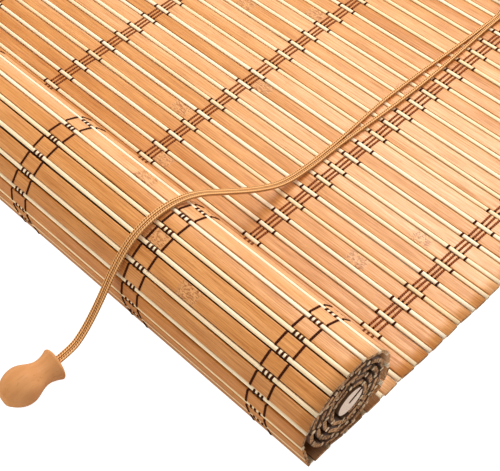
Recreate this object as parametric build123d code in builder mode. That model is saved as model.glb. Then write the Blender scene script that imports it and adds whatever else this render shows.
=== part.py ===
"""Bamboo roll up blind, lying flat with its lower end rolled up on top of it.

X runs along the slats, +Y towards the head and +Z up from the surface it lies on.
All lengths are in millimetres and all angles in degrees.
"""
import math
import os
from bisect import bisect_left

from build123d import *

os.makedirs("parts", exist_ok=True)

# Woven mat: wide slats and thin sticks in turn, held by bands of warp threads
pitch = 12.5
stick_width = 2.8
strip_gap = 0.4
slat_width = pitch - stick_width - 2 * strip_gap
strip_thickness = 1.8
strip_edge = 0.35
band_count = 5
band_spacing = 95.2
edge_margin = 33.0
mat_width = (band_count - 1) * band_spacing + 2 * edge_margin
thread_width = 1.2
thread_thickness = 0.5
inner_thread_spacing = 3.0
outer_thread_spacing = 6.4
flat_slat_count = 27

# Roll: the mat wound round a slotted rod, squashed under its own weight; the outer turn lies on the
# floor as far as a corner at the front, its weave stands open under the roll and its bands have drifted
rod_diameter = 18.0
rod_slot_width = 1.8
rod_clearance = 0.4
rod_slot_tilt = -20.0
roll_turns = 4.9405
layer_slack = 1.45
squash_share = 0.118
squash_tilt = 18.0
corner_share = 0.26
corner_turn = 47.0
floor_fade = 10.0
front_fade = 15.0
weave_slack = 6.9
slack_count = 4
band_drift = 9.0
band_spread_share = 1.04
walk_steps = 3600

# Head rail: a lath rebated for the top of the mat, which is stapled into it
rail_height = 16.0
rail_land = 15.0
rail_rounding = 3.0
rebate_margin = 3.5
rebate_end_gap = 0.5
staple_count = 4
staple_width = 1.4
staple_grip = 6.0

# Hanger plates let into the back of the rail, each with two countersunk screws
hanger_spacing = 300.0
hanger_width = 24.0
hanger_seat = 12.0
hanger_reach = 14.0
hanger_thickness = 1.5
hanger_rounding = 9.0
hanger_hole_diameter = 6.0
hanger_hole_edge = 7.0
screw_head_diameter = 5.6
screw_shank_diameter = 2.6
screw_length = 10.0
screw_spacing = 13.0

# Twin pulley on the front of the rail
pulley_x = 82.6
pulley_setback = 9.0
sheave_width = 4.6
sheave_gap = 0.3
sheave_diameter = 16.0
sheave_rim = 0.6
groove_depth = 3.0
groove_flare = 0.2
axle_diameter = 3.0
axle_running_gap = 0.05
axle_head_diameter = 4.8
axle_head_height = 0.8
bracket_thickness = 1.2
bracket_foot = 15.0
cheek_diameter = 11.0
sheave_lift = 0.6
pan_head_diameter = 5.0
pan_head_height = 1.5
pan_screw_diameter = 2.4
pan_screw_length = 9.0
pan_screw_edge = 3.4

# Pull cord: two strands from the pulley, side by side over the roll to the knob
cord_diameter = 2.5
cord_pair_gap = 0.2
cord_gap = 0.35
cord_hole_depth = 11.0
wrap_turn = 67.5
wrap_radius_share = 0.98
bend_share = 0.45

# Turned knob, lying on its bulb and its collar
knob_x = 82.4
knob_y = -251.5
knob_length = 35.0
knob_collar_diameter = 19.2
knob_collar_height = 1.6
knob_waist_diameter = 14.8
knob_bulb_diameter = 22.6
knob_base_diameter = 11.2
knob_waist_share = 0.26
knob_bulb_share = 0.64
knob_bore_depth = 11.0
knob_clearance = 0.1

flat_level = thread_thickness + strip_thickness / 2
mat_top = strip_thickness + 2 * thread_thickness
layer_spacing = strip_thickness + 2 * thread_thickness + layer_slack
inner_radius = rod_diameter / 2 + rod_clearance + strip_thickness / 2
outer_radius = inner_radius + layer_spacing * roll_turns


def spiral_point(turned):
    """Mid-line of the rolled mat from the rod's axis: a spiral that starts straight down."""
    radius = outer_radius - layer_spacing * turned / (2 * math.pi)
    squash = squash_share * (radius - inner_radius) / (outer_radius - inner_radius)
    direction = -math.pi / 2 - turned
    radius *= 1 + squash * math.cos(2 * (direction - math.radians(squash_tilt)))
    past_corner = math.degrees(turned) - corner_turn
    fade = front_fade if past_corner > 0 else floor_fade
    radius *= 1 + corner_share * math.exp(-abs(past_corner) / fade)
    return radius * math.cos(direction), radius * math.sin(direction)


walk_turns = [2 * math.pi * roll_turns * i / walk_steps for i in range(walk_steps + 1)]
walk = [spiral_point(turned) for turned in walk_turns]
lowest = min((i for i in range(walk_steps) if walk_turns[i] < math.pi / 2), key=lambda i: walk[i][1])
rod_rise = flat_level - walk[lowest][1]
rod_shift = -walk[lowest][0]
walk = [(y + rod_shift, z + rod_rise) for y, z in walk[lowest:]]
walked = [0.0]
for start, end in zip(walk, walk[1:]):
    walked.append(walked[-1] + math.dist(start, end))


def mat_place(run, lift_line=0.0):
    """Place and heading of a strip, a run past the line where the mat lifts off the floor."""
    if run <= 0:
        return lift_line - run, flat_level, 180.0
    i = bisect_left(walked, run)
    (y0, z0), (y1, z1) = walk[i - 1], walk[i]
    share = (run - walked[i - 1]) / (walked[i] - walked[i - 1])
    heading = math.degrees(math.atan2(z1 - z0, y1 - y0))
    return lift_line + y0 + share * (y1 - y0), z0 + share * (z1 - z0), heading


def back_corners(place, lift):
    """The two corners of a slat's back face, raised by a lift along its normal."""
    y, z, heading = place
    out = strip_thickness / 2 + lift
    along_y, along_z = math.cos(math.radians(heading)), math.sin(math.radians(heading))
    steps = [side * slat_width / 2 for side in (-1, 1)]
    return [(y + step * along_y - out * along_z, z + step * along_z + out * along_y) for step in steps]


def strip_outline(width):
    """Section of a slat or stick: a flat strip with its four edges taken off."""
    half_width, half_height = width / 2, strip_thickness / 2
    quarter = [(half_width, half_height - strip_edge), (half_width - strip_edge, half_height)]
    upper = quarter + [(-x, y) for x, y in reversed(quarter)]
    return upper + [(-x, -y) for x, y in upper]


# Where each strip lies along the mat, counted from the rod, and how far the outer turn and the head reach
roll_count = math.ceil(walked[-1] / pitch)
slat_count = flat_slat_count + roll_count
slack_shares = [min(1, max(0, (i + 1 - roll_count) / slack_count)) for i in range(slat_count)]
slat_runs = [walked[-1] - pitch * i - weave_slack * share for i, share in enumerate(slack_shares)][::-1]
stick_runs = [(run + onward) / 2 for run, onward in zip(slat_runs, slat_runs[1:])]
outer_turn_run = walked[int(walk_steps / roll_turns) - lowest]
corner_run = walked[bisect_left(walk_turns, math.radians(corner_turn)) - lowest]
wrap_runs = [run for run in slat_runs if corner_run < run < outer_turn_run]
wrap_front = min(y for run in wrap_runs for y, z in back_corners(mat_place(run), thread_thickness))
mat_reach = slat_width / 2 - slat_runs[0]
head_reach = mat_reach + rebate_end_gap + rail_land + hanger_reach
lift_line = -(wrap_front + head_reach) / 2
mat_end = lift_line + mat_reach
rail_back = mat_end + rebate_end_gap + rail_land
rail_front = mat_end + rebate_end_gap - pitch - rebate_margin
band_places = [(i - (band_count - 1) / 2) * band_spacing for i in range(band_count)]


def strips(runs, width):
    """Cross-sections of a row of strips, each set at its place and heading on the mat."""
    places = [mat_place(run, lift_line) for run in runs]
    with Locations(*[Location((y, z, 0), (0, 0, heading)) for y, z, heading in places]):
        Polygon(*strip_outline(width), align=None)


mat_groups = {
    "flat_slats": ([run for run in slat_runs if run <= 0], slat_width),
    "flat_sticks": ([run for run in stick_runs if run <= 0], stick_width),
    "roll_slats": ([run for run in slat_runs if run > 0], slat_width),
    "roll_sticks": ([run for run in stick_runs if run > 0], stick_width),
}
for name, (runs, width) in mat_groups.items():
    with BuildPart() as strip_group:
        with BuildSketch(Plane.YZ.offset(-mat_width / 2)):
            strips(runs, width)
        extrude(amount=mat_width)
    strip_group.part.label = name
    export_step(strip_group.part, f"parts/{name}.step")

# Warp threads of the flat mat: three along the front face and two along the back in each band
flat_edges = [run + slat_width / 2 for run in slat_runs if run <= 0]
flat_edges += [run + stick_width / 2 for run in stick_runs if run <= 0]
thread_start = lift_line - max(flat_edges)
thread_run = mat_end - thread_start
for number, band_x in enumerate(band_places, 1):
    with BuildPart() as warp_band:
        with BuildSketch(Plane.XY.offset(strip_thickness + thread_thickness)):
            with Locations((band_x, thread_start + thread_run / 2)):
                with GridLocations(inner_thread_spacing, thread_run, 3, 1):
                    Rectangle(thread_width, thread_run)
        extrude(amount=thread_thickness)
        with BuildSketch(Plane.XY):
            with Locations((band_x, thread_start + thread_run / 2)):
                with GridLocations(2 * outer_thread_spacing, thread_run, 2, 1):
                    Rectangle(thread_width, thread_run)
        extrude(amount=thread_thickness)
    warp_band.part.label = f"warp_band_{number}"
    export_step(warp_band.part, f"parts/warp_band_{number}.step")

# The two outer threads of each band go on round the outer turn of the roll, up from its corner
wrap_places = [mat_place(run, lift_line) for run in wrap_runs]
wrap_inside = [corner for place in wrap_places for corner in back_corners(place, 0)]
wrap_outside = [corner for place in wrap_places for corner in back_corners(place, thread_thickness)]
for number, band_x in enumerate(band_places, 1):
    roll_band_x = band_spread_share * band_x - band_drift
    sides = [roll_band_x + side * outer_thread_spacing - thread_width / 2 for side in (-1, 1)]
    with BuildPart() as roll_band:
        with BuildSketch(*[Plane.YZ.offset(x) for x in sides]):
            with BuildLine():
                Polyline(*wrap_inside, *reversed(wrap_outside), close=True)
            make_face()
        extrude(amount=thread_width)
    roll_band.part.label = f"roll_band_{number}"
    export_step(roll_band.part, f"parts/roll_band_{number}.step")

# Rod at the lower end of the mat, slotted to its axis for the ends of the warp
rod_y = lift_line + rod_shift
with BuildPart() as bottom_rod:
    with BuildSketch(Plane.YZ.offset(-mat_width / 2)):
        with Locations((rod_y, rod_rise)):
            Circle(rod_diameter / 2)
            with Locations(Location((0, 0, 0), (0, 0, rod_slot_tilt))):
                Rectangle(rod_diameter, rod_slot_width, align=(Align.MIN, Align.CENTER), mode=Mode.SUBTRACT)
    extrude(amount=mat_width)
bottom_rod.part.label = "bottom_rod"
export_step(bottom_rod.part, "parts/bottom_rod.step")

# Staples: a crown under the last stick, with its legs up through the gaps into the rail
staple_y = lift_line - stick_runs[0]
staple_leg_spacing = stick_width + strip_gap
staple_places = [(i - (staple_count - 1) / 2) * mat_width / staple_count for i in range(staple_count)]
staple_top = mat_top + staple_grip


with BuildSketch(Plane.XY) as staple_feet:
    with Locations(*[(x, staple_y) for x in staple_places]):
        with GridLocations(staple_width, staple_leg_spacing, 1, 2):
            Rectangle(staple_width, strip_gap)

with BuildPart() as mat_staples:
    extrude(staple_feet.sketch, amount=staple_top)
    with BuildSketch(Plane.XY):
        with Locations(*[(x, staple_y) for x in staple_places]):
            Rectangle(staple_width, staple_leg_spacing)
    extrude(amount=thread_thickness)
mat_staples.part.label = "mat_staples"
export_step(mat_staples.part, "parts/mat_staples.step")

# Hanger plates and their screws, whose heads lie flush with the back of the rail
hanger_places = [side * hanger_spacing / 2 for side in (-1, 1)]
hanger_hole_y = rail_back + hanger_reach - hanger_hole_edge
hanger_screw_y = rail_back - hanger_seat / 2
hanger_screw_places = [(x + side * screw_spacing / 2, hanger_screw_y) for x in hanger_places for side in (-1, 1)]


def countersunk_screws(mode=Mode.ADD):
    """All the hanger screws, head down in the plates and shank up into the rail."""
    with Locations(*hanger_screw_places):
        Cone(
            screw_head_diameter / 2, screw_shank_diameter / 2, hanger_thickness,
            align=(Align.CENTER, Align.CENTER, Align.MIN), mode=mode,
        )
        Cylinder(
            screw_shank_diameter / 2, screw_length,
            align=(Align.CENTER, Align.CENTER, Align.MIN), mode=mode,
        )


for name, hanger_x in zip(("hanger_left", "hanger_right"), hanger_places):
    with BuildPart() as hanger:
        with BuildSketch(Plane.XY) as plate:
            with Locations((hanger_x, rail_back - hanger_seat)):
                Rectangle(hanger_width, hanger_seat + hanger_reach, align=(Align.CENTER, Align.MIN))
            fillet(plate.vertices().group_by(Axis.Y)[-1], hanger_rounding)
            with Locations((hanger_x, hanger_hole_y)):
                Circle(hanger_hole_diameter / 2, mode=Mode.SUBTRACT)
        extrude(amount=hanger_thickness)
        countersunk_screws(Mode.SUBTRACT)
    hanger.part.label = name
    export_step(hanger.part, f"parts/{name}.step")

with BuildPart() as hanger_screws:
    countersunk_screws()
hanger_screws.part.label = "hanger_screws"
export_step(hanger_screws.part, "parts/hanger_screws.step")

# Twin pulley: a bent steel bracket, two sheaves, their axle and two pan head screws
pulley_y = rail_front + pulley_setback
axle_z = rail_height + bracket_thickness + sheave_lift + sheave_diameter / 2
sheave_places = [pulley_x + side * (sheave_width + sheave_gap) / 2 for side in (-1, 1)]
bracket_inside = 2 * sheave_width + 3 * sheave_gap
bracket_width = bracket_inside + 2 * bracket_thickness
groove_radius = sheave_diameter / 2 - groove_depth
wrap_radius = groove_radius + cord_gap + cord_diameter / 2
cord_hole_y = pulley_y + wrap_radius
pan_screw_places = [(pulley_x, pulley_y + side * (bracket_foot - pan_screw_edge)) for side in (-1, 1)]


with BuildSketch(Plane.XY.offset(rail_height + bracket_thickness)) as pan_shanks:
    with Locations(*pan_screw_places):
        Circle(pan_screw_diameter / 2)

with BuildSketch(Plane.XY.offset(rail_height + bracket_thickness)) as cord_holes:
    with Locations(*[(x, cord_hole_y) for x in sheave_places]):
        Circle(cord_diameter / 2 + cord_gap)

with BuildPart() as pulley_bracket:
    with BuildSketch(Plane.XY.offset(rail_height)):
        with Locations((pulley_x, pulley_y)):
            Rectangle(bracket_width, 2 * bracket_foot)
    extrude(amount=bracket_thickness)
    cheek_sides = [pulley_x - bracket_width / 2, pulley_x + bracket_inside / 2]
    with BuildSketch(*[Plane.YZ.offset(x) for x in cheek_sides]):
        with Locations((pulley_y, axle_z)):
            Circle(cheek_diameter / 2)
            Rectangle(cheek_diameter, axle_z - rail_height, align=(Align.CENTER, Align.MAX))
            Circle(axle_diameter / 2, mode=Mode.SUBTRACT)
    extrude(amount=bracket_thickness)
    extrude(pan_shanks.sketch, amount=-pan_screw_length, mode=Mode.SUBTRACT)
    extrude(cord_holes.sketch, amount=-bracket_thickness, mode=Mode.SUBTRACT)
pulley_bracket.part.label = "pulley_bracket"
export_step(pulley_bracket.part, "parts/pulley_bracket.step")

axle_plane = Plane(origin=(pulley_x, pulley_y, axle_z), x_dir=(1, 0, 0), z_dir=(0, -1, 0))
axle_axis = Axis((pulley_x, pulley_y, axle_z), (1, 0, 0))
with BuildPart() as pulley_axle:
    with BuildSketch(axle_plane):
        Rectangle(bracket_width + 2 * axle_head_height, axle_diameter / 2, align=(Align.CENTER, Align.MIN))
        with GridLocations(bracket_width + axle_head_height, axle_diameter, 2, 1):
            Rectangle(axle_head_height, axle_head_diameter / 2, align=(Align.CENTER, Align.MIN))
    revolve(axis=axle_axis)
pulley_axle.part.label = "pulley_axle"
export_step(pulley_axle.part, "parts/pulley_axle.step")

bore_radius = axle_diameter / 2 + axle_running_gap
groove_top = sheave_width / 2 - sheave_rim
groove_floor = groove_top - groove_flare
for name, sheave_x in zip(("sheave_left", "sheave_right"), sheave_places):
    with BuildPart() as sheave:
        with BuildSketch(Plane(origin=(sheave_x, pulley_y, axle_z), x_dir=(1, 0, 0), z_dir=(0, -1, 0))):
            Polygon(
                (-sheave_width / 2, bore_radius), (sheave_width / 2, bore_radius),
                (sheave_width / 2, sheave_diameter / 2), (groove_top, sheave_diameter / 2),
                (groove_floor, groove_radius), (-groove_floor, groove_radius),
                (-groove_top, sheave_diameter / 2), (-sheave_width / 2, sheave_diameter / 2),
                align=None,
            )
        revolve(axis=axle_axis)
    sheave.part.label = name
    export_step(sheave.part, f"parts/{name}.step")

with BuildPart() as pulley_screws:
    extrude(pan_shanks.sketch, amount=-pan_screw_length)
    with BuildSketch(Plane.XY.offset(rail_height + bracket_thickness)):
        with Locations(*pan_screw_places):
            Circle(pan_head_diameter / 2)
    extrude(amount=pan_head_height)
pulley_screws.part.label = "pulley_screws"
export_step(pulley_screws.part, "parts/pulley_screws.step")

# Head rail, rebated along its lower edge for the mat and recessed for the hangers
with BuildPart() as head_rail:
    with BuildSketch(Plane.YZ.offset(-mat_width / 2)) as lath:
        with Locations((rail_front, 0)):
            Rectangle(rail_back - rail_front, rail_height, align=(Align.MIN, Align.MIN))
            Rectangle(pitch + rebate_margin, mat_top, align=(Align.MIN, Align.MIN), mode=Mode.SUBTRACT)
        fillet(lath.vertices().group_by(Axis.Y)[-1], rail_rounding)
    extrude(amount=mat_width)
    with BuildSketch(Plane.XY):
        with Locations(*[(x, rail_back) for x in hanger_places]):
            Rectangle(hanger_width, 2 * hanger_seat)
    extrude(amount=hanger_thickness, mode=Mode.SUBTRACT)
    countersunk_screws(Mode.SUBTRACT)
    extrude(staple_feet.sketch, amount=staple_top, mode=Mode.SUBTRACT)
    extrude(pan_shanks.sketch, amount=-pan_screw_length, mode=Mode.SUBTRACT)
    extrude(cord_holes.sketch, amount=-(bracket_thickness + cord_hole_depth), mode=Mode.SUBTRACT)
head_rail.part.label = "head_rail"
export_step(head_rail.part, "parts/head_rail.step")

# Knob, turned in one piece: flared collar, waist, bulb and a flat base, bored for the cord
knob_tilt = math.asin(
    (knob_bulb_diameter - knob_collar_diameter) / 2 / (knob_bulb_share * knob_length)
)
knob_axis = Vector(0, -math.cos(knob_tilt), math.sin(knob_tilt))
knob_face = Vector(knob_x, knob_y, knob_collar_diameter / 2 + knob_clearance)
pair_spacing = cord_diameter + cord_pair_gap
with BuildPart() as pull_knob:
    with BuildSketch(Plane(origin=knob_face, x_dir=knob_axis, z_dir=(1, 0, 0))):
        with BuildLine():
            collar_top = (0, knob_collar_diameter / 2)
            collar_back = (knob_collar_height, knob_collar_diameter / 2)
            base_edge = (knob_length, knob_base_diameter / 2)
            Polyline((0, 0), collar_top, collar_back)
            Spline(
                collar_back,
                (knob_waist_share * knob_length, knob_waist_diameter / 2),
                (knob_bulb_share * knob_length, knob_bulb_diameter / 2),
                base_edge,
            )
            Polyline(base_edge, (knob_length, 0), (0, 0))
        make_face()
    revolve(axis=Axis(knob_face, knob_axis))
    with BuildSketch(Plane(origin=knob_face, x_dir=(1, 0, 0), z_dir=knob_axis)):
        Circle((pair_spacing + cord_diameter) / 2 + cord_gap)
    extrude(amount=knob_bore_depth, mode=Mode.SUBTRACT)
pull_knob.part.label = "pull_knob"
export_step(pull_knob.part, "parts/pull_knob.step")

# Route of the cord: over the sheaves, down to the mat, over the roll and down to the knob
strand_points = {
    "cord_left": [(81.6, 134.8, 4.4), (79.6, 104.8, 4.4), (77.6, 62.8, 4.4), (78.6, 18.8, 4.4)],
    "cord_right": [(84.2, 134.8, 4.4), (85.8, 104.8, 4.4), (87.2, 64.8, 4.4), (86.9, 19.8, 4.4)],
}
pair_points = [
    (-18.9, 4.4), (-48.9, 4.4), (-73.0, 7.8), (-95.3, 21.0), (-117.3, 37.8), (-139.2, 55.0),
    (-160.2, 61.3), (-182.2, 58.2), (-199.0, 43.6), (-214.0, 24.2), (-228.8, 10.8), (-241.4, 8.9),
]
for name, sheave_x, side in zip(strand_points, sheave_places, (-1, 1)):
    pair_x = knob_x + side * pair_spacing / 2
    wrap_reach = wrap_radius / math.cos(math.radians(wrap_turn / 2))
    wrap_angles = [math.radians(wrap_turn * share) for share in (0.5, 1.5)]
    route = [(sheave_x, cord_hole_y, rail_height - cord_hole_depth)]
    route += [
        (sheave_x, pulley_y + wrap_reach * math.cos(a), axle_z + wrap_reach * math.sin(a)) for a in wrap_angles
    ]
    route += strand_points[name]
    route += [(pair_x, y, z) for y, z in pair_points]
    route += [Vector(pair_x, knob_face.Y, knob_face.Z) + knob_axis * knob_bore_depth]
    route = [Vector(point) for point in route]
    turns = [(b - a).get_angle(c - b) for a, b, c in zip(route, route[1:], route[2:])]
    short_runs = [min((b - a).length, (c - b).length) for a, b, c in zip(route, route[1:], route[2:])]
    radii = [bend_share * run / math.tan(math.radians(turn / 2)) for run, turn in zip(short_runs, turns)]
    radii[:2] = [wrap_radius_share * wrap_radius] * 2
    with BuildPart() as strand:
        with BuildLine() as centre:
            FilletPolyline(*route, radius=radii)
        with BuildSketch(Plane(origin=centre.line @ 0, z_dir=centre.line % 0)):
            Circle(cord_diameter / 2)
        sweep()
    strand.part.label = name
    export_step(strand.part, f"parts/{name}.step")
    section = math.pi * cord_diameter**2 / 4
    print(name, "radii", [round(r, 1) for r in radii])
    length = sum(edge.length for edge in centre.line.edges())
    print(name, "length", round(length, 1), "by volume", round(strand.part.volume / section, 1))
print("lift line", round(lift_line, 2), "rod", round(rod_y, 2), round(rod_rise, 2), "mat", round(mat_width, 1))
print("rail", round(rail_front, 2), round(rail_back, 2), "hanger hole", round(hanger_hole_y, 2))
print("roll run", round(walked[-1], 2), "last flat slat", round(slat_runs[flat_slat_count - 1], 2))
print("axle", round(pulley_y, 2), round(axle_z, 2), "slats", slat_count, "outer turn", len(wrap_runs))
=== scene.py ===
"""Bamboo roll up blind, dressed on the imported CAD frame: mat, threads, rod, head, pulley, knob and cord.

X runs along the slats, +Y towards the head and +Z up from the floor. All lengths are in metres.
"""

import bpy
import numpy as np
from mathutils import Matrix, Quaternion, Vector


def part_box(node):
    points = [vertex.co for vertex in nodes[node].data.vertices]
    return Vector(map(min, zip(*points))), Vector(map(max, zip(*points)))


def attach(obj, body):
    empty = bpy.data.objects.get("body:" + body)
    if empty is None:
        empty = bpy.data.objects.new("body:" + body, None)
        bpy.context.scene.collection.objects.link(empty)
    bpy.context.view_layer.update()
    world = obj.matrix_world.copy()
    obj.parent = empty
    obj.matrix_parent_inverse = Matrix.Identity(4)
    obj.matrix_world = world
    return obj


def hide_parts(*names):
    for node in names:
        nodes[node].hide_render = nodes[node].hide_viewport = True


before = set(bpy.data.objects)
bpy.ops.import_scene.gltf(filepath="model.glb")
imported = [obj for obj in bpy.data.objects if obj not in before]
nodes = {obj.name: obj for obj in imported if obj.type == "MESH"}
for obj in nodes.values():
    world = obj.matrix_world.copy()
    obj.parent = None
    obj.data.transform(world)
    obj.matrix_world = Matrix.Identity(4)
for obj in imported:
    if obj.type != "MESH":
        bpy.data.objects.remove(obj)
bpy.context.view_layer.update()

# Camera: it stands off the right-hand end of the roll and looks down across the mat through a long lens,
# so the roll runs from lower right to upper left and the cord crosses it towards the lower left corner.
eye = Vector((0.43056, -0.40663, 0.57896))
aim = Vector((0.09304, -0.11211, 0.0028))
camera_roll = np.radians(-4.54)
lens = bpy.data.cameras.new("camera")
lens.sensor_width = 36.0
lens.lens = 87.92
camera = bpy.data.objects.new("camera", lens)
camera.location = eye
camera.rotation_mode = "QUATERNION"
camera.rotation_quaternion = (aim - eye).to_track_quat("-Z", "Y") @ Quaternion((0, 0, 1), camera_roll)
bpy.context.scene.collection.objects.link(camera)
bpy.context.scene.camera = camera

# Studio: a wide softbox hangs behind the roll over the far half of the mat, so the roll's front falls into
# shade, and a smaller panel beside it puts a sheen on the mat. Two weak warm panels, one low in front, and
# the pale surroundings fill the shade. The floor is plain white, and dark only close under the mat.
lamp_aim = Vector((0.05, -0.10, 0))
for name, place, size, power, colour in (
    ("softbox", (0.14, 0.62, 1.18), 1.0, 9.6, (1.0, 1.0, 1.0)),
    ("sheen_panel", (-0.30, 0.80, 1.20), 0.6, 8.0, (1.0, 1.0, 1.0)),
    ("side_panel", (-0.90, -0.90, 0.80), 0.9, 1.8, (1.0, 0.93, 0.78)),
    ("low_panel", (-0.15, -1.10, 0.16), 0.5, 1.8, (1.0, 0.90, 0.66)),
):
    light = bpy.data.lights.new(name, "AREA")
    light.color = colour
    light.size = size
    light.energy = power
    lamp = bpy.data.objects.new(name, light)
    lamp.location = place
    lamp.rotation_mode = "QUATERNION"
    lamp.rotation_quaternion = (lamp_aim - Vector(place)).to_track_quat("-Z", "Y")
    bpy.context.scene.collection.objects.link(lamp)
surroundings = bpy.data.worlds.new("surroundings")
surroundings.use_nodes = True
backdrop = surroundings.node_tree.nodes["Background"]
backdrop.inputs["Color"].default_value = (1.0, 0.955, 0.89, 1.0)
backdrop.inputs["Strength"].default_value = 0.45
bpy.context.scene.world = surroundings
bpy.context.scene.view_settings.view_transform = "Standard"
bpy.context.scene.view_settings.look = "Medium High Contrast"


def put(tree, kind, inputs=(), **settings):
    """A node of that kind in a tree, with its settings and the values or links of its named inputs."""
    node = tree.nodes.new(kind)
    for name, value in settings.items():
        setattr(node, name, value)
    for name, value in dict(inputs).items():
        if isinstance(value, bpy.types.NodeSocket):
            tree.links.new(value, node.inputs[name])
        else:
            node.inputs[name].default_value = value
    return node


def mixed(tree, factor, first, second, blend_type="MIX"):
    """The colour a share of the way from one colour to a second, or with MULTIPLY to their product."""
    inputs = {"Factor": factor, "A": first, "B": second}
    return put(tree, "ShaderNodeMix", inputs, data_type="RGBA", blend_type=blend_type).outputs["Result"]


def worked(tree, operation, *values):
    """The result of one operation on one, two or three values."""
    return put(tree, "ShaderNodeMath", dict(enumerate(values)), operation=operation).outputs[0]


def ranged(tree, value, low, high, to_low=0.0, to_high=1.0, **settings):
    """A value carried over from one range to another, and held at that range's ends."""
    inputs = {"Value": value, "From Min": low, "From Max": high, "To Min": to_low, "To Max": to_high}
    return put(tree, "ShaderNodeMapRange", inputs, **settings).outputs["Result"]


def finish_of(name, **values):
    """A new material, its tree and its Principled shader, whose plain sockets take these values."""
    material = bpy.data.materials.new(name)
    material.use_nodes = True
    tree = material.node_tree
    shader = tree.nodes["Principled BSDF"]
    for socket, value in values.items():
        shader.inputs[socket.replace("_", " ")].default_value = value
    return material, tree, shader


def wire(shader, **outputs):
    """Links what changes over the surface to the shader's sockets of these names."""
    for socket, output in outputs.items():
        shader.id_data.links.new(output, shader.inputs[socket.replace("_", " ")])


def piece_of(name, points, faces, material, smooth=True):
    """A mesh object at the origin from an array of points and rows of corner numbers."""
    mesh = bpy.data.meshes.new(name)
    mesh.from_pydata(points, [], faces)
    mesh.polygons.foreach_set("use_smooth", np.full(len(mesh.polygons), smooth))
    mesh.materials.append(material)
    piece = bpy.data.objects.new(name, mesh)
    bpy.context.scene.collection.objects.link(piece)
    return piece


floor_half, floor_level, floor_shade_reach = 6.0, -0.0004, 0.005
floor_finish, floor_tree, floor_shader = finish_of("floor_white", Roughness=0.9, Specular_IOR_Level=0.1)
floor_speck = put(floor_tree, "ShaderNodeTexNoise", {"Scale": 3.0, "Detail": 2.0})
floor_tint = mixed(floor_tree, floor_speck.outputs["Fac"], (0.86, 0.86, 0.86, 1), (0.88, 0.88, 0.88, 1))
wire(floor_shader, Base_Color=floor_tint)
floor_sight = put(floor_tree, "ShaderNodeLightPath")
floor_open = put(floor_tree, "ShaderNodeAmbientOcclusion", {"Distance": floor_shade_reach})
floor_clear = ranged(floor_tree, floor_open.outputs["AO"], 0.15, 0.5)
floor_share = worked(floor_tree, "MULTIPLY", floor_sight.outputs["Is Camera Ray"], floor_clear)
floor_glow = put(floor_tree, "ShaderNodeEmission", {"Strength": 1.04})
floor_blend = put(
    floor_tree, "ShaderNodeMixShader",
    {0: floor_share, 1: floor_shader.outputs["BSDF"], 2: floor_glow.outputs["Emission"]},
)
floor_tree.links.new(floor_blend.outputs["Shader"], floor_tree.nodes["Material Output"].inputs["Surface"])
floor_corners = np.array([(-1, -1), (1, -1), (1, 1), (-1, 1)]) * floor_half
floor_points = np.column_stack([floor_corners, np.full(4, floor_level)])
floor = piece_of("floor", floor_points, [(0, 1, 2, 3)], floor_finish)

# Bamboo mat: flat slats split from the wall of the cane, with a thin stick between each two. The lower end is
# wound round a rod on top of the mat's own front; the roll is squashed by its own weight, and its outer turn
# lies on the floor as far as a corner at the front. The weave stands open where the mat goes under the roll.
pitch, slat_width, stick_width, strip_thickness = 0.0125, 0.0089, 0.0028, 0.0018
flat_level, lift_start = 0.0014, -0.001
roll_turns, layer_spacing, inner_radius, spiral_steps = 4.9405, 0.00425, 0.0103, 3601
squash_share, squash_tilt = 0.118, np.radians(18.0)
corner_share, corner_turn, floor_fade, front_fade = 0.26, 47.0, 10.0, 15.0
slat_count, roll_count, weave_slack, slack_count = 80, 53, 0.0069, 4
half_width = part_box("flat_slats")[1].x
head_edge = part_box("flat_slats")[1].y
rod_axis = np.array(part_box("bottom_rod")).mean(0)[1:]

# The mat's mid-line in Y and Z: straight from the head to where it lifts, then a spiral in to the rod. Its
# radius falls by one layer each turn, times 1 + q cos 2a, where the squash q fades out towards the rod, and
# times 1 + c exp(-d / f), where d is the angle from the corner and f is how fast the corner fades.
turned = np.linspace(0, 2 * np.pi * roll_turns, spiral_steps)
radius = inner_radius + layer_spacing * (roll_turns - turned / (2 * np.pi))
squash = squash_share * (radius - inner_radius) / (layer_spacing * roll_turns)
direction = -np.pi / 2 - turned
radius *= 1 + squash * np.cos(2 * (direction - squash_tilt))
past_corner = np.degrees(turned) - corner_turn
corner_fade = np.where(past_corner > 0, front_fade, floor_fade)
radius *= 1 + corner_share * np.exp(-np.abs(past_corner) / corner_fade)
spiral = rod_axis + radius[:, None] * np.column_stack([np.cos(direction), np.sin(direction)])
lifts_at = np.argmin(spiral[turned < np.pi / 2, 1])
mid_line = np.vstack([(head_edge, flat_level), spiral[lifts_at:]])
mid_steps = np.diff(mid_line, axis=0)
mid_lengths = np.linalg.norm(mid_steps, axis=1)
mid_runs = np.concatenate([[0], np.cumsum(mid_lengths)]) - mid_lengths[0]
step_turns = np.unwrap(np.arctan2(mid_steps[:, 1], mid_steps[:, 0]))
step_runs = mid_runs[:-1] + mid_lengths / 2
step_runs[0] = lift_start
outer_turn = np.interp(2 * np.pi, turned[lifts_at:], mid_runs[1:])


def mat_at(run):
    """The mid-line at a run from where the mat lifts: its place in Y and Z, the way on, the way out."""
    place = np.stack([np.interp(run, mid_runs, mid_line[:, axis]) for axis in (0, 1)], -1)
    turn = np.interp(run, step_runs, step_turns)
    return place, np.stack([np.cos(turn), np.sin(turn)], -1), np.stack([-np.sin(turn), np.cos(turn)], -1)


from_rod = np.arange(slat_count)
slack = weave_slack * np.clip((from_rod + 1 - roll_count) / slack_count, 0, 1)
slat_runs = (mid_runs[-1] - pitch * from_rod - slack)[::-1]
stick_runs = (slat_runs[:-1] + slat_runs[1:]) / 2


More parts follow.
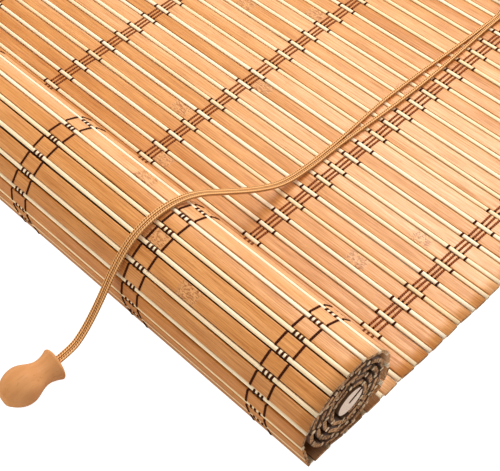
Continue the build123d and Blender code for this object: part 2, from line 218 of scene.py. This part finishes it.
def strip_section(width, height, rounding, crown):
    """Outline of a strip: a rectangle with quarter-round corners and its two broad faces crowned."""
    bend = np.radians((0, 30, 60, 90))
    corner_x = width / 2 - rounding * (1 - np.cos(bend))
    corner = np.column_stack([corner_x, height / 2 - rounding * (1 - np.sin(bend))])
    upper = np.vstack([corner, (width / 5, height / 2 + crown), (-width / 5, height / 2 + crown)])
    upper = np.vstack([upper, corner[::-1] * (-1, 1)])
    return np.vstack([upper, -upper])


def tube_faces(rings, sides, count=1):
    """Corner numbers for a row of closed tubes: quads from ring to ring, then a face over each end."""
    numbers = np.arange(count), np.arange(rings - 1), np.arange(sides)
    tube, ring, side = np.meshgrid(*numbers, indexing="ij")
    here = (tube * rings + ring) * sides
    after = (side + 1) % sides
    quads = np.stack([here + side, here + after, here + sides + after, here + sides + side], -1)
    first = np.arange(count)[:, None] * rings * sides + np.arange(sides)
    last = first + (rings - 1) * sides
    return quads.reshape(-1, 4).tolist() + first[:, ::-1].tolist() + last.tolist()


def give_uv(piece, uv):
    """Lays one pair of numbers per point into the piece's own UV map, corner by corner."""
    corners = np.empty(len(piece.data.loops), dtype=np.int32)
    piece.data.loops.foreach_get("vertex_index", corners)
    piece.data.uv_layers.new(name="surface").data.foreach_set("uv", uv[corners].ravel())


def mark_faces(piece, **marks):
    """Gives each face of the piece one number under each name, for its material to read."""
    for name, values in marks.items():
        mark = piece.data.attributes.new(name, "FLOAT", "FACE")
        mark.data.foreach_set("value", np.asarray(values, dtype=np.float32))


slow_waves, quick_waves, quick_share = 2.5, 7.0, 0.6
roll_degrees, breadth_spread, askew_cut = 0.8, 0.012, 0.05
under_reach, under_breadth, inner_thickness = 0.034, 0.06, 0.35
shade_middle, shade_reach, shade_depth = -0.005, 0.026, 0.7
joint_range, grain_step = 1.6, 0.037


def strips(name, runs, section, uneven, shift, seed, seen_joints, stations, wander, material):
    """A row of strips as one mesh: the section carried along X at each run, bowed and cut a little unevenly.

    Across the mat a strip lies a shift off its run and wanders by the sum of two slow sine waves, it is
    rolled by about a degree about its own length, and its ends are cut askew and short by a random part of
    the uneven cut. It is broader where the row stands open, broader and not shifted under the roll, and
    thicker in the inner turns. Its faces are marked with its own tone, a painted shade mark for the inner
    turns and for the strips under the roll, and one cane joint, at a random place or where one is seen.
    """
    chance = np.random.default_rng(seed)
    count, sides = len(runs), len(section)
    place, onward, outward = mat_at(runs)
    inner = runs > outer_turn
    under = np.abs(runs) < under_reach
    # Painted shade: the inner turns of the roll, and the strips under it and just before it, get a mark that
    # darkens their colour as the shade there.
    painted_shade = inner + shade_depth * (np.abs(runs - shade_middle) < shade_reach)
    ends = half_width - chance.uniform(0, uneven, (count, 2))
    share = np.linspace(0, 1, stations)
    x = -ends[:, :1] * (1 - share) + ends[:, 1:] * share
    phases = chance.uniform(0, 2 * np.pi, (count, 2))
    bow = np.sin(slow_waves * share * np.pi + phases[:, :1])
    bow = bow + quick_share * np.sin(quick_waves * share * np.pi + phases[:, 1:])
    bow = wander * bow + shift * chance.uniform(0.6, 1.4, (count, 1)) * ~under[:, None]
    roll = np.radians(chance.normal(0, roll_degrees, count))[:, None]
    broad = np.gradient(runs) / pitch * (1 + under_breadth * under) + chance.normal(0, breadth_spread, count)
    broad = section[:, 0] * broad[:, None]
    across = (broad * np.cos(roll) - section[:, 1] * np.sin(roll))[:, None, :] + bow[:, :, None]
    thick = section[:, 1] * (1 + inner_thickness * inner)[:, None]
    height = (broad * np.sin(roll) + thick * np.cos(roll))[:, None, :]
    along = np.repeat(x[:, :, None], sides, 2)
    along[:, (0, -1), :] += chance.normal(0, askew_cut, (count, 2, 1)) * broad[:, None, :]
    yz = place[:, None, None, :] + across[..., None] * onward[:, None, None, :]
    yz = yz + height[..., None] * outward[:, None, None, :]
    points = np.concatenate([along[..., None], yz], -1).reshape(-1, 3)
    piece = piece_of(name, points, tube_faces(stations, sides, count), material)
    quads = (stations - 1) * sides
    sawn = np.arange(count * (quads + 2)) >= count * quads
    piece.data.polygons.foreach_set("use_smooth", ~sawn)
    beside = across + grain_step * np.arange(count)[:, None, None]
    give_uv(piece, np.stack([along, beside], -1).reshape(-1, 2))
    joint = chance.uniform(-joint_range, joint_range, count) * half_width
    joint[list(seen_joints)] = list(seen_joints.values())
    strip_marks = {"tone": chance.uniform(0, 1, count), "joint": joint, "painted_shade": painted_shade}
    face_marks = {
        mark: np.concatenate([np.repeat(values, quads), np.tile(values, 2)])
        for mark, values in strip_marks.items()
    }
    mark_faces(piece, end_grain=sawn, **face_marks)
    return piece


fibres = bpy.data.node_groups.new("cane_fibres", "ShaderNodeTree")
fibres.interface.new_socket("Vector", in_out="INPUT", socket_type="NodeSocketVector")
for output in ("Streaks", "Mottle", "Flecks"):
    fibres.interface.new_socket(output, in_out="OUTPUT", socket_type="NodeSocketFloat")
fibres_in, fibres_out = put(fibres, "NodeGroupInput"), put(fibres, "NodeGroupOutput")
for output, stretch, detail, low, high in (
    ("Streaks", (40, 1800, 1800), 5.0, 0.38, 0.66),
    ("Mottle", (9, 160, 160), 3.0, 0.30, 0.70),
    ("Flecks", (230, 2600, 2600), 1.0, 0.62, 0.84),
):
    spot = put(fibres, "ShaderNodeMapping", {"Vector": fibres_in.outputs["Vector"], "Scale": stretch})
    noise = put(
        fibres, "ShaderNodeTexNoise", {"Vector": spot.outputs["Vector"], "Scale": 1.0, "Detail": detail}
    )
    fibres.links.new(ranged(fibres, noise.outputs["Fac"], low, high), fibres_out.inputs[output])
joint_edge, joint_core = 0.0085, 0.0055


def cane_finish(name, tones, dark, patch, sawn_tones, streak_depth, joint_depth, roughness):
    """Split cane: a tone for each strip, darker streaks along it, a mottled patch at its joint, sawn ends.

    The clouds shift a strip's own tone up and down the ramp of tones. The patch is full within the joint's
    core and gone at its edge, with dark flecks in it. Painted shade darkens what is wound up in the inner
    turns or lies under the roll.
    """
    material, tree, shader = finish_of(name, Specular_IOR_Level=0.5)
    uv = put(tree, "ShaderNodeUVMap", uv_map="surface").outputs["UV"]
    fibre = put(tree, "ShaderNodeGroup", {"Vector": uv}, node_tree=fibres).outputs
    tone, joint, end, painted_shade = (
        put(tree, "ShaderNodeAttribute", attribute_name=mark).outputs["Fac"]
        for mark in ("tone", "joint", "end_grain", "painted_shade")
    )
    clouds = worked(tree, "SUBTRACT", fibre["Mottle"], 0.5)
    ramp = put(tree, "ShaderNodeValToRGB", {"Fac": worked(tree, "MULTIPLY_ADD", clouds, 0.55, tone)})
    while len(ramp.color_ramp.elements) < len(tones):
        ramp.color_ramp.elements.new(0.5)
    for element, (position, colour) in zip(ramp.color_ramp.elements, tones):
        element.position = position
        element.color = (*colour, 1)
    streak = worked(tree, "ADD", fibre["Flecks"], fibre["Streaks"])
    streak = worked(tree, "MULTIPLY", streak, streak_depth)
    streaked = mixed(tree, streak, ramp.outputs["Color"], (*dark, 1), "MULTIPLY")
    spot = put(tree, "ShaderNodeSeparateXYZ", {"Vector": uv})
    away = worked(tree, "ABSOLUTE", worked(tree, "SUBTRACT", spot.outputs["X"], joint))
    near = ranged(tree, away, joint_edge, joint_core, 0.0, joint_depth, interpolation_type="SMOOTHSTEP")
    patched = mixed(tree, near, streaked, (*patch, 1))
    swirl = put(tree, "ShaderNodeMapping", {"Vector": uv, "Scale": (300, 1000, 1000)})
    knot = put(
        tree, "ShaderNodeTexNoise",
        {"Vector": swirl.outputs["Vector"], "Scale": 1.0, "Detail": 2.0, "Distortion": 2.0},
    )
    fleck = worked(tree, "MULTIPLY", near, ranged(tree, knot.outputs["Fac"], 0.46, 0.58, 0.0, 1.4))
    knotted = mixed(tree, fleck, patched, (0.46, 0.27, 0.14, 1), "MULTIPLY")
    # Painted shade: the marked strips are multiplied by a dark brown, as the shade inside the roll and under
    # it.
    shade_painted = mixed(tree, painted_shade, knotted, (0.17, 0.13, 0.10, 1), "MULTIPLY")
    place = put(tree, "ShaderNodeTexCoord")
    pores = put(
        tree, "ShaderNodeTexNoise", {"Vector": place.outputs["Object"], "Scale": 800.0, "Detail": 3.0}
    )
    pores = worked(tree, "MULTIPLY_ADD", tone, 0.4, ranged(tree, pores.outputs["Fac"], 0.36, 0.70))
    sawn = mixed(tree, pores, (*sawn_tones[0], 1), (*sawn_tones[1], 1))
    dull = ranged(tree, fibre["Streaks"], 0.0, 1.0, roughness, roughness + 0.2)
    bump = put(
        tree, "ShaderNodeBump", {"Height": fibre["Streaks"], "Strength": 0.3, "Distance": 0.00012},
        invert=True,
    )
    wire(
        shader, Base_Color=mixed(tree, end, shade_painted, sawn), Roughness=worked(tree, "MAXIMUM", dull, end),
        Normal=bump.outputs["Normal"],
    )
    return material


slat_finish = cane_finish(
    "slat_cane",
    [
        (0, (0.62, 0.262, 0.064)), (0.3, (0.71, 0.335, 0.110)),
        (0.7, (0.82, 0.425, 0.175)), (1, (0.87, 0.50, 0.255)),
    ],
    dark=(0.58, 0.43, 0.29), patch=(0.79, 0.45, 0.21), sawn_tones=((0.068, 0.024, 0.006), (0.62, 0.36, 0.19)),
    streak_depth=0.75, joint_depth=0.6, roughness=0.32,
)
stick_finish = cane_finish(
    "stick_cane",
    [(0, (0.90, 0.70, 0.44)), (0.5, (0.95, 0.79, 0.56)), (1, (0.97, 0.84, 0.65))],
    dark=(0.80, 0.68, 0.52), patch=(0.93, 0.80, 0.55), sawn_tones=((0.22, 0.12, 0.06), (0.82, 0.62, 0.43)),
    streak_depth=0.35, joint_depth=0.15, roughness=0.5,
)
slat_rounding, slat_crown = 0.00040, 0.00006
stick_rounding, stick_crown, flat_trim, roll_trim = 0.00050, 0.00020, 0.0002, 0.0003
slat_section = strip_section(slat_width, strip_thickness, slat_rounding, slat_crown)
flat_stick = strip_section(stick_width - flat_trim, strip_thickness, stick_rounding, stick_crown)
roll_stick = strip_section(stick_width - roll_trim, strip_thickness, stick_rounding, stick_crown)
slat_make = {"stations": 49, "wander": 0.00008, "material": slat_finish}
stick_make = {"stations": 41, "wander": 0.00010, "material": stick_finish}
flat_slats, roll_slats = slat_runs[slat_runs <= 0], slat_runs[slat_runs > 0]
flat_sticks, roll_sticks = stick_runs[stick_runs <= 0], stick_runs[stick_runs > 0]
flat_joints = {15: 0.0110, 19: -0.0150, 22: 0.0090}
roll_joints = {6: 0.1250, 7: 0.0880}
for name, slot, make, runs, section, uneven, shift, seed, seen_joints in (
    ("flat_slats", "slats", slat_make, flat_slats, slat_section, 0.0006, 0.0, 6262, flat_joints),
    ("roll_slats", "slats", slat_make, roll_slats, slat_section, 0.0010, 0.0, 30292, roll_joints),
    ("flat_sticks", "sticks", stick_make, flat_sticks, flat_stick, 0.0009, -0.0003, 13, {}),
    ("roll_sticks", "sticks", stick_make, roll_sticks, roll_stick, 0.0012, 0.0003, 14, {}),
):
    row = strips(name + "_cane", runs, section, uneven, shift, seed, seen_joints, **make)
    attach(row, "blind")
    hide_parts(name)

# Warp threads: five brown cotton threads to a band, woven over and under the strips. The three inner ones
# show on the slats of the front, and the two outer ones on the slats of the back, which the roll turns out.
# The bands have drifted along the slats on the roll. One brown is painted in two copies: a red brown as
# painted light where the inner ones lie lit on the flat front slats, and near black as painted shade
# everywhere else, in the dives between the strips, over the sticks and on the roll.
band_spacing, band_count = 0.0952, 5
band_spread, band_drift, drift_start, drift_length = 0.04, 0.009, -0.035, 0.045
thread_width, thread_height, thread_steps = 0.00142, 0.00050, 8
thread_places = np.array((-0.0064, -0.0030, 0.0, 0.0030, 0.0064))
thread_sides = np.array((1, -1, -1, -1, 1))
thread_sway, slow_sway, quick_sway = 0.00014, 61, 173
over_slat, under_stick, edge_drop = 0.00115, -0.00130, 0.88
slat_stations = np.array((-4.40, -3.80, -2.0, 0.0, 2.0, 3.80, 4.40)) / 1000
stick_stations = np.array((-1.25, 0.0, 1.25)) / 1000
ply_twist = 4200.0


def woven_threads(name, band_x, first, last, material, seed):
    """The five threads of one band from one run to another, as flattened tubes.

    A thread lies along one face of each slat and along the other face of each stick: its height off the
    strip's middle is half the strip and half the thread, up or down, so it dives steeply in the gaps between
    them. It sways along X by two sine waves, and shifts along X by a smooth step under the roll.
    """
    chance = np.random.default_rng(seed)
    count = len(thread_places)
    runs, line, outward, rise, plain = [], [], [], [], []
    for strip_runs, offsets, height in (
        (slat_runs, slat_stations, over_slat), (stick_runs, stick_stations, under_stick),
    ):
        place, onward, out = (way[:, None, :] for way in mat_at(strip_runs))
        edge = np.where(np.abs(offsets) == offsets[-1], edge_drop, 1.0)
        runs.append((strip_runs[:, None] + offsets).ravel())
        line.append((place + offsets[:, None] * onward).reshape(-1, 2))
        outward.append(np.repeat(out, len(offsets), 1).reshape(-1, 2))
        rise.append(np.tile(height * edge, len(strip_runs)))
        plain.append(np.tile((edge == 1) & (height > 0), len(strip_runs)))
    runs, line, outward, rise, plain = map(np.concatenate, (runs, line, outward, rise, plain))
    order = np.argsort(runs)
    order = order[(runs[order] > first) & (runs[order] < last)]
    runs, line, outward, rise, plain = (part[order] for part in (runs, line, outward, rise, plain))
    line = line + (thread_sides[:, None] * rise)[..., None] * outward
    heading = np.gradient(line, axis=1)
    heading /= np.linalg.norm(heading, axis=2)[..., None]
    upward = np.stack([-heading[..., 1], heading[..., 0]], -1)
    phases = chance.uniform(0, 2 * np.pi, (count, 2))
    sway = np.sin(slow_sway * runs + phases[:, :1]) + np.sin(quick_sway * runs + phases[:, 1:])
    drifted = np.clip((runs - drift_start) / drift_length, 0, 1)
    x = band_x + thread_places[:, None] + thread_sway * sway
    x = x + (band_spread * band_x - band_drift) * drifted**2 * (3 - 2 * drifted)
    angle = np.arange(thread_steps) * 2 * np.pi / thread_steps
    x = x[..., None] + thread_width / 2 * np.sin(angle)
    yz = line[:, :, None, :] + thread_height / 2 * np.cos(angle)[:, None] * upward[:, :, None, :]
    points = np.concatenate([x[..., None], yz], -1).reshape(-1, 3)
    piece = piece_of(name, points, tube_faces(len(runs), thread_steps, count), material)
    steps = np.linalg.norm(np.diff(line, axis=1), axis=2)
    length = np.concatenate([np.zeros((count, 1)), np.cumsum(steps, axis=1)], axis=1)
    along, around = np.broadcast_to(length[..., None], x.shape), np.broadcast_to(angle, x.shape)
    give_uv(piece, np.stack([along, around], -1).reshape(-1, 2))
    # Painted light: this mark picks the inner threads on the flat front slats, away from their dives, to take
    # the lit red brown; the rest keeps the shaded near black.
    faded = (thread_sides[:, None] < 0) & plain & (runs < 0)
    faded = np.repeat((faded[:, :-1] & faded[:, 1:]).ravel(), thread_steps)
    mark_faces(piece, faded=np.concatenate([faded, np.zeros(2 * count)]))
    return piece


thread_finish, thread_tree, thread_shader = finish_of(
    "thread_cotton", Roughness=0.85, Specular_IOR_Level=0.15
)
thread_uv = put(thread_tree, "ShaderNodeUVMap", uv_map="surface")
thread_spot = put(thread_tree, "ShaderNodeSeparateXYZ", {"Vector": thread_uv.outputs["UV"]}).outputs
thread_turn = worked(thread_tree, "MULTIPLY_ADD", thread_spot["X"], ply_twist, thread_spot["Y"])
thread_ply = ranged(thread_tree, worked(thread_tree, "SINE", thread_turn), -1.0, 1.0)
# Painted light and shade: the near black copy is the thread in shade and the red brown copy the thread lit on
# the front; both are darker in the grooves of the twist, as painted shade.
thread_shaded_dark = mixed(thread_tree, thread_ply, (0.022, 0.006, 0.003, 1), (0.110, 0.030, 0.013, 1))
thread_lit_red = mixed(thread_tree, thread_ply, (0.12, 0.033, 0.012, 1), (0.38, 0.125, 0.046, 1))
thread_faded = put(thread_tree, "ShaderNodeAttribute", attribute_name="faded")
thread_bump = put(thread_tree, "ShaderNodeBump", {"Height": thread_ply, "Strength": 0.5, "Distance": 0.0001})
wire(
    thread_shader, Base_Color=mixed(thread_tree, thread_faded.outputs["Fac"], thread_shaded_dark, thread_lit_red),
    Normal=thread_bump.outputs["Normal"],
)
for band in range(band_count):
    band_x = (band - (band_count - 1) / 2) * band_spacing
    for kind, first, last in (("warp", -mid_lengths[0], 0.0), ("roll", 0.0, outer_turn)):
        name = f"{kind}_band_{band + 1}"
        threads = woven_threads(name + "_threads", band_x, first, last, thread_finish, 20 + band)
        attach(threads, "blind")
        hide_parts(name)

# Bottom rod: a planed oval dowel at the core of the roll, slotted along its length for the ends of the warp.
# Its sides are painted a dark brown as painted shade, for the shade they lie in inside the roll, and its pale
# sawn end shows in the middle of the roll.
rod_half_width, rod_half_height, rod_tilt, rod_steps = 0.0092, 0.0071, np.radians(22.0), 96
slot_opening, slot_floor, slot_half = 9, -0.001, 0.0010
rod_finish, rod_tree, rod_shader = finish_of("rod_wood", Roughness=0.6, Specular_IOR_Level=0.25)
rod_place = put(rod_tree, "ShaderNodeTexCoord")
rod_grain = put(rod_tree, "ShaderNodeGroup", {"Vector": rod_place.outputs["Object"]}, node_tree=fibres)
rod_pale = mixed(rod_tree, rod_grain.outputs["Streaks"], (0.92, 0.77, 0.66, 1), (0.72, 0.55, 0.45, 1))
rod_sawn = put(rod_tree, "ShaderNodeAttribute", attribute_name="end_grain")
# Painted shade: the sides get a dark brown in place of the pale wood, and only the sawn ends keep the pale
# wood.
wire(rod_shader, Base_Color=mixed(rod_tree, rod_sawn.outputs["Fac"], (0.22, 0.13, 0.075, 1), rod_pale))
rod_angle = np.radians(np.linspace(slot_opening, 360 - slot_opening, rod_steps))
rod_outline = np.column_stack([rod_half_width * np.cos(rod_angle), rod_half_height * np.sin(rod_angle)])
rod_outline = np.vstack([rod_outline, (slot_floor, -slot_half), (slot_floor, slot_half)])
rod_outline = rod_outline @ ((np.cos(rod_tilt), np.sin(rod_tilt)), (-np.sin(rod_tilt), np.cos(rod_tilt)))
rod_rings = np.repeat((rod_axis + rod_outline)[None], 2, 0)
rod_ends = np.broadcast_to(np.array((-1, 1))[:, None, None] * half_width, rod_rings.shape[:2] + (1,))
rod_points = np.concatenate([rod_ends, rod_rings], -1).reshape(-1, 3)
rod = piece_of("bottom_rod_wood", rod_points, tube_faces(2, len(rod_outline)), rod_finish, smooth=False)
mark_faces(rod, end_grain=np.arange(len(rod.data.polygons)) >= len(rod_outline))
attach(rod, "blind")
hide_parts("bottom_rod")

# Head rail: a planed lath of light wood across the top of the mat, rebated for it and oiled. Two steel
# hangers are let into its back, and the mat is stapled up into the rebate.
rail_finish, rail_tree, rail_shader = finish_of(
    "rail_wood", Roughness=0.4, Specular_IOR_Level=0.4, Coat_Weight=0.15
)
rail_place = put(rail_tree, "ShaderNodeTexCoord")
rail_stretch = put(
    rail_tree, "ShaderNodeMapping", {"Vector": rail_place.outputs["Object"], "Scale": (0.35, 0.5, 0.5)}
)
rail_grain = put(rail_tree, "ShaderNodeGroup", {"Vector": rail_stretch.outputs["Vector"]}, node_tree=fibres)
rail_light = mixed(rail_tree, rail_grain.outputs["Mottle"], (0.66, 0.34, 0.13, 1), (0.76, 0.43, 0.19, 1))
rail_colour = mixed(rail_tree, rail_grain.outputs["Streaks"], rail_light, (0.50, 0.23, 0.08, 1))
wire(rail_shader, Base_Color=rail_colour)


def refinish(node, material):
    """Gives a CAD node a finish in place of its plain one."""
    nodes[node].data.materials.clear()
    nodes[node].data.materials.append(material)


refinish("head_rail", rail_finish)

# Steel work: zinc plated hangers, bracket, axle, staples and screws, bright with a fine cloudy spangle.
# The bracket is folded from strip and screwed to the rail, and the axle is riveted over at both ends.


def metal_finish(name, scale, detail, dark, bright, smoothest, roughest):
    """Bare metal: one cloudy noise sets both how bright and how rough it is."""
    material, tree, shader = finish_of(name, Metallic=1.0)
    place = put(tree, "ShaderNodeTexCoord")
    clouds = put(
        tree, "ShaderNodeTexNoise", {"Vector": place.outputs["Object"], "Scale": scale, "Detail": detail}
    ).outputs["Fac"]
    wire(
        shader, Base_Color=mixed(tree, clouds, (*dark, 1), (*bright, 1)),
        Roughness=ranged(tree, clouds, 0.0, 1.0, smoothest, roughest),
    )
    return material


steel_finish = metal_finish("zinc_steel", 420.0, 3.0, (0.50, 0.50, 0.48), (0.68, 0.67, 0.64), 0.22, 0.46)
for name in (
    "mat_staples", "hanger_left", "hanger_right", "hanger_screws",
    "pulley_bracket", "pulley_axle", "pulley_screws",
):
    refinish(name, steel_finish)

# Sheaves: two small grooved wheels turned from brass, side by side on the axle. They turn freely as the
# strands run over them, and their faces are a little clouded.
sheave_finish = metal_finish("turned_brass", 300.0, 2.0, (0.62, 0.40, 0.13), (0.78, 0.55, 0.23), 0.2, 0.4)
for name in ("sheave_left", "sheave_right"):
    refinish(name, sheave_finish)

# Knob: turned from a light wood and left unfinished, with a flared collar, a waist and a bulb that tapers to
# a small flat base. It lies on its bulb and its collar, and both strands go into the bore in its collar.
knob_length, knob_collar, knob_waist, knob_bulb, knob_base = 0.035, 0.0096, 0.0074, 0.0113, 0.0056
knob_waist_at, knob_bulb_at = 0.26 * knob_length, 0.64 * knob_length
knob_rim, knob_bore, knob_bore_depth = 0.0012, 0.00295, 0.011
bore_lip_depth, bore_lip_width = 0.0005, 0.0004
base_edge_depth, base_edge_width, base_middle = 0.0004, 0.0006, 0.0002
taper_power, knob_sides = 2.2, 64
knob_face = np.array((0.0824, -0.2515, 0.0097))
knob_tilt, knob_swing = np.radians(4.35), np.radians(3.8)
knob_side = np.array((np.cos(knob_swing), -np.sin(knob_swing), 0.0))
knob_level = -np.cos(knob_tilt)
knob_axis = np.array((knob_level * np.sin(knob_swing), knob_level * np.cos(knob_swing), np.sin(knob_tilt)))


def lathe(name, profile, origin, axis, sideways, sides, material):
    """A turned piece: each station and radius of the profile gives one ring about the axis."""
    angle = np.arange(sides) * 2 * np.pi / sides
    ring = np.cos(angle)[:, None] * sideways + np.sin(angle)[:, None] * np.cross(axis, sideways)
    points = origin + profile[:, :1, None] * axis + profile[:, 1:, None] * ring
    return piece_of(name, points.reshape(-1, 3), tube_faces(len(profile), sides), material)


# The profile from the bore to the base: a round rim, a parabola down to the waist, half a cosine wave out to
# the bulb, and a power curve in to the base.
rim_bend = np.radians(np.linspace(0, 120, 9))
rim = np.column_stack([1 - np.cos(rim_bend), np.sin(rim_bend) - 1]) * knob_rim + (0, knob_collar)
rim_at, rim_radius = rim[-1]
share = np.linspace(0, 1, 17)[1:]
flare = np.column_stack([
    rim_at + (knob_waist_at - rim_at) * share,
    knob_waist + (rim_radius - knob_waist) * (1 - share)**2,
])
swell = np.column_stack([
    knob_waist_at + (knob_bulb_at - knob_waist_at) * share,
    knob_waist + (knob_bulb - knob_waist) * (1 - np.cos(np.pi * share)) / 2,
])
taper = np.column_stack([
    knob_bulb_at + (knob_length - base_edge_depth - knob_bulb_at) * share,
    knob_bulb - (knob_bulb - knob_base) * share**taper_power,
])
knob_profile = np.vstack([
    (knob_bore_depth, knob_bore), (bore_lip_depth, knob_bore), (0, knob_bore + bore_lip_width),
    rim, flare, swell, taper,
    (knob_length, knob_base - base_edge_width), (knob_length, base_middle),
])
knob_finish, knob_tree, knob_shader = finish_of("knob_wood", Specular_IOR_Level=0.25)
knob_place = put(knob_tree, "ShaderNodeTexCoord")
knob_turned = put(
    knob_tree, "ShaderNodeMapping",
    {"Vector": knob_place.outputs["Object"], "Rotation": (0, 0, np.pi / 2), "Scale": (0.6, 0.35, 0.35)},
)
knob_grain = put(knob_tree, "ShaderNodeGroup", {"Vector": knob_turned.outputs["Vector"]}, node_tree=fibres)
knob_light = mixed(knob_tree, knob_grain.outputs["Mottle"], (0.52, 0.235, 0.090, 1), (0.72, 0.375, 0.170, 1))
knob_fleck = worked(knob_tree, "MULTIPLY", knob_grain.outputs["Flecks"], 0.5)
wire(
    knob_shader, Base_Color=mixed(knob_tree, knob_fleck, knob_light, (0.38, 0.17, 0.06, 1)),
    Roughness=ranged(knob_tree, knob_grain.outputs["Streaks"], 0.0, 1.0, 0.6, 0.8),
)
knob = lathe("pull_knob_turned", knob_profile, knob_face, knob_axis, knob_side, knob_sides, knob_finish)
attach(knob, "blind")
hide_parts("pull_knob")

# Pull cord: two braided strands that leave the rail, go round the sheaves and lie down the mat, draw
# together before the roll, ride over it side by side and end in the turned knob on the floor.
cord_diameter, cord_length, strand_offset = 0.0025, 0.505, 0.00135
rail_top, rail_bite = 0.016, 0.011
sheave_wrap, wrap_turn = 0.0066, np.radians(72.25)
braid_columns, lobe_depth, stitch_length, cord_sides = 4, 0.06, 0.0016, 32
strand_runs = {
    "cord_left": [
        (0.0821, 0.1430, 0.0044), (0.0822, 0.1240, 0.0044), (0.0818, 0.1000, 0.0044),
        (0.0800, 0.0700, 0.0044), (0.0788, 0.0420, 0.0044), (0.0785, 0.0188, 0.0044),
    ],
    "cord_right": [
        (0.0847, 0.1430, 0.0044), (0.0848, 0.1240, 0.0044), (0.0858, 0.1000, 0.0044),
        (0.0868, 0.0760, 0.0044), (0.0870, 0.0480, 0.0044), (0.0863, 0.0198, 0.0044),
    ],
}
pair_run = [
    (0.0824, -0.0189, 0.0044), (0.0824, -0.0489, 0.0044), (0.0822, -0.0730, 0.0078),
    (0.0815, -0.0953, 0.0210), (0.0805, -0.1173, 0.0378), (0.0795, -0.1392, 0.0550),
    (0.0790, -0.1602, 0.0620), (0.0790, -0.1822, 0.0595), (0.0785, -0.1990, 0.0450),
    (0.0785, -0.2140, 0.0255), (0.0795, -0.2288, 0.0125), (0.0816, -0.2414, 0.0092),
]


def cord_line(name, route):
    """Points along the smooth NURBS line whose control points are the route's points."""
    line = bpy.data.curves.new(name, "CURVE")
    line.dimensions = "3D"
    line.resolution_u = 64
    spline = line.splines.new("NURBS")
    spline.points.add(len(route) - 1)
    spline.points.foreach_set("co", np.column_stack([route, np.ones(len(route))]).ravel())
    spline.order_u = 3
    spline.use_endpoint_u = True
    carrier = bpy.data.objects.new(name, line)
    bpy.context.scene.collection.objects.link(carrier)
    drawn = bpy.data.meshes.new_from_object(carrier.evaluated_get(bpy.context.evaluated_depsgraph_get()))
    points = np.empty(len(drawn.vertices) * 3)
    drawn.vertices.foreach_get("co", points)
    bpy.data.objects.remove(carrier)
    bpy.data.meshes.remove(drawn)
    return points.reshape(-1, 3)


def braided_tube(name, line, material):
    """A section with four rounded lobes carried along the line, as the columns of a braid lie.

    The radius is r (1 - d - d cos 4a) in the angle a about the line, where d is the lobes' depth, so two
    columns show on each side.
    """
    heading = np.gradient(line, axis=0)
    heading /= np.linalg.norm(heading, axis=1)[:, None]
    sideways = np.array((1.0, 0, 0)) - heading * heading[:, :1]
    sideways /= np.linalg.norm(sideways, axis=1)[:, None]
    upward = np.cross(heading, sideways)
    along = np.concatenate([[0], np.cumsum(np.linalg.norm(np.diff(line, axis=0), axis=1))])
    angle = np.arange(cord_sides) * 2 * np.pi / cord_sides
    radius = cord_diameter / 2 * (1 - lobe_depth - lobe_depth * np.cos(braid_columns * angle))
    over, up = (radius * np.cos(angle))[:, None], (radius * np.sin(angle))[:, None]
    points = line[:, None, :] + over * sideways[:, None, :] + up * upward[:, None, :]
    piece = piece_of(name, points.reshape(-1, 3), tube_faces(len(line), cord_sides), material)
    give_uv(piece, np.column_stack([np.repeat(along, cord_sides), np.tile(angle, len(line))]))
    return piece


cord_finish, cord_tree, cord_shader = finish_of("cord_braid", Roughness=0.75, Specular_IOR_Level=0.25)
cord_uv = put(cord_tree, "ShaderNodeUVMap", uv_map="surface")
cord_spot = put(cord_tree, "ShaderNodeSeparateXYZ", {"Vector": cord_uv.outputs["UV"]}).outputs
cord_slant = worked(cord_tree, "MULTIPLY", cord_spot["Y"], braid_columns / 2)
cord_along = worked(cord_tree, "MULTIPLY_ADD", cord_spot["X"], 2 * np.pi / stitch_length, cord_slant)
cord_stitch = worked(cord_tree, "MULTIPLY", worked(cord_tree, "COSINE", cord_along), 0.7)
cord_round = worked(cord_tree, "MULTIPLY", cord_spot["Y"], braid_columns)
cord_height = worked(cord_tree, "SUBTRACT", cord_stitch, worked(cord_tree, "COSINE", cord_round))
cord_yarn = ranged(cord_tree, cord_height, -1.2, 0.75)
cord_bump = put(cord_tree, "ShaderNodeBump", {"Height": cord_yarn, "Strength": 0.5, "Distance": 0.0002})
# Painted shade: the braid's colour runs to a dark brown in the grooves between its columns and stitches, on
# top of the bump.
wire(
    cord_shader, Base_Color=mixed(cord_tree, cord_yarn, (0.22, 0.066, 0.013, 1), (0.94, 0.56, 0.26, 1)),
    Normal=cord_bump.outputs["Normal"],
)

# Round a sheave the route's points are the corners of the tangents to the groove, with one more point before
# the first corner and one after the last, as far off as the corners lie apart.
for name, sheave, side in (("cord_left", "sheave_left", -1), ("cord_right", "sheave_right", 1)):
    axle_x, axle_y, axle_z = np.array(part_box(sheave)).mean(0)
    corner_reach = sheave_wrap / np.cos(wrap_turn / 2)
    corners = [
        np.array((axle_x, axle_y + corner_reach * np.cos(turn), axle_z + corner_reach * np.sin(turn)))
        for turn in (0.5 * wrap_turn, 1.5 * wrap_turn)
    ]
    step = np.linalg.norm(corners[1] - corners[0])
    way_out = np.array(strand_runs[name][0]) - corners[1]
    route = np.array([
        (axle_x, axle_y + sheave_wrap, rail_top - rail_bite),
        corners[0] - (0, 0, step),
        *corners,
        corners[1] + way_out * step / np.linalg.norm(way_out),
        *strand_runs[name],
        *((x + side * strand_offset, y, z) for x, y, z in pair_run),
        knob_face + side * strand_offset * knob_side + knob_axis * knob_bore_depth,
    ])
    line = cord_line(name + "_line", route)
    strand = braided_tube(name + "_braid", line, cord_finish)
    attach(strand, "blind")
    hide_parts(name)
